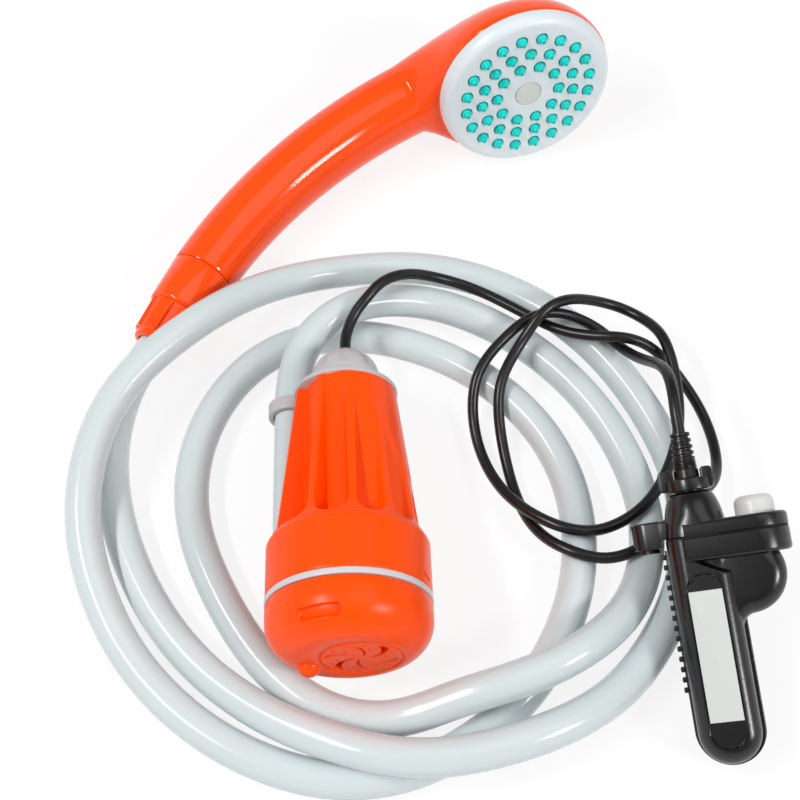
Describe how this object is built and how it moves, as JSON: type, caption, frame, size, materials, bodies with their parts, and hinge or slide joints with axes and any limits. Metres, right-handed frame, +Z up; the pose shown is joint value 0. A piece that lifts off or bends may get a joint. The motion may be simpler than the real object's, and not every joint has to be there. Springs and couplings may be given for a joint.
{
  "type": "camp shower pump",
  "caption": "Submersible camp shower pump with its coiled hose, curved hand shower, power cord and a handheld battery pack with a push button.",
  "frame": {"origin": "on the surface the kit lies on, under the middle of its rigid pieces", "axes": "+Z up, +Y away from the viewer towards the hand shower's head, +X to the right towards the battery pack"},
  "size_m": [0.2732, 0.3413, 0.0791],
  "materials": {
    "orange_satin": "satin moulded plastic",
    "orange_gloss": "glossy moulded plastic",
    "pale_plastic": "satin moulded plastic",
    "hose_plastic": "smooth glossy hose",
    "turquoise_rubber": "soft moulded rubber",
    "black_plastic": "fine grained satin plastic",
    "black_rubber": "smooth rubber",
    "grey_rubber": "smooth rubber",
    "white_plastic": "smooth moulded plastic",
    "label": "plain plate",
    "steel": "bright",
    "brass": "bright",
    "magnet": "dark",
    "cell_wrap": "wrapped cell",
    "board": "plain board"
  },
  "bodies": {
    "kit": {"pump_housing": "orange_satin", "trim_ring": "pale_plastic", "volute_plate": "pale_plastic", "shaft_seal": "black_rubber", "motor_can": "steel", "motor_magnets": "magnet", "motor_bushes": "brass", "motor_brushes": "magnet", "motor_end_bell": "white_plastic", "top_cap": "pale_plastic", "cap_o_ring": "black_rubber", "cable_gland": "black_rubber", "outlet_spout": "orange_satin", "hose": "hose_plastic", "shower_handle": "orange_gloss", "face_plate": "pale_plastic", "face_seal": "black_rubber", "nozzle_mat": "turquoise_rubber", "face_screw": "steel", "centre_cap": "white_plastic", "hose_tail": "white_plastic", "tail_washer": "black_rubber", "power_cord": "black_rubber", "plug_relief": "black_rubber", "plug_body": "black_plastic", "plug_contacts": "brass", "pack_front": "black_plastic", "pack_back": "black_plastic", "pack_cap": "black_plastic", "pack_seal": "grey_rubber", "label_plate": "label", "switch_block": "black_plastic", "battery_cell": "cell_wrap", "cell_contacts": "steel", "circuit_board": "board", "charge_jack": "steel", "case_screws": "steel", "power_socket": "black_plastic"},
    "intake": {"intake_cover": "orange_satin", "filter_screen": "pale_plastic"},
    "rotor": {"impeller": "white_plastic", "motor_shaft": "steel", "armature": "brass"},
    "nut": {"hose_nut": "orange_gloss"},
    "collar": {"plug_collar": "black_plastic"},
    "button": {"power_button": "white_plastic"},
    "port_plug": {"port_cover": "black_rubber"}
  },
  "joints": [
    {"name": "cover_twist", "type": "hinge", "parent": "kit", "child": "intake", "pos_m": [-0.0323, -0.1337, 0.038], "axis": [-0.0349, 0.998, -0.0523], "range_deg": [0, 40]},
    {"name": "rotor_spin", "type": "hinge", "parent": "kit", "child": "rotor", "pos_m": [-0.0283, -0.13356, 0.038], "axis": [-0.0349, 0.998, -0.0523], "continuous": true},
    {"name": "nut_turn", "type": "hinge", "parent": "kit", "child": "nut", "pos_m": [-0.10056, 0.04566, 0.01459], "axis": [-0.4573, -0.8888, -0.0294], "continuous": true},
    {"name": "collar_twist", "type": "hinge", "parent": "kit", "child": "collar", "pos_m": [0.0954, -0.0879, 0.0386], "axis": [-0.1394, 0.9265, 0.3495], "range_deg": [0, 45]},
    {"name": "button_press", "type": "slide", "parent": "kit", "child": "button", "axis": [0.1394, -0.9265, -0.3495], "range_m": [0, 0.0025], "stiffness_N_per_m": 500},
    {"name": "port_plug_pull", "type": "slide", "parent": "kit", "child": "port_plug", "axis": [0.1394, -0.9265, -0.3495], "range_m": [0, 0.009]}
  ]
}
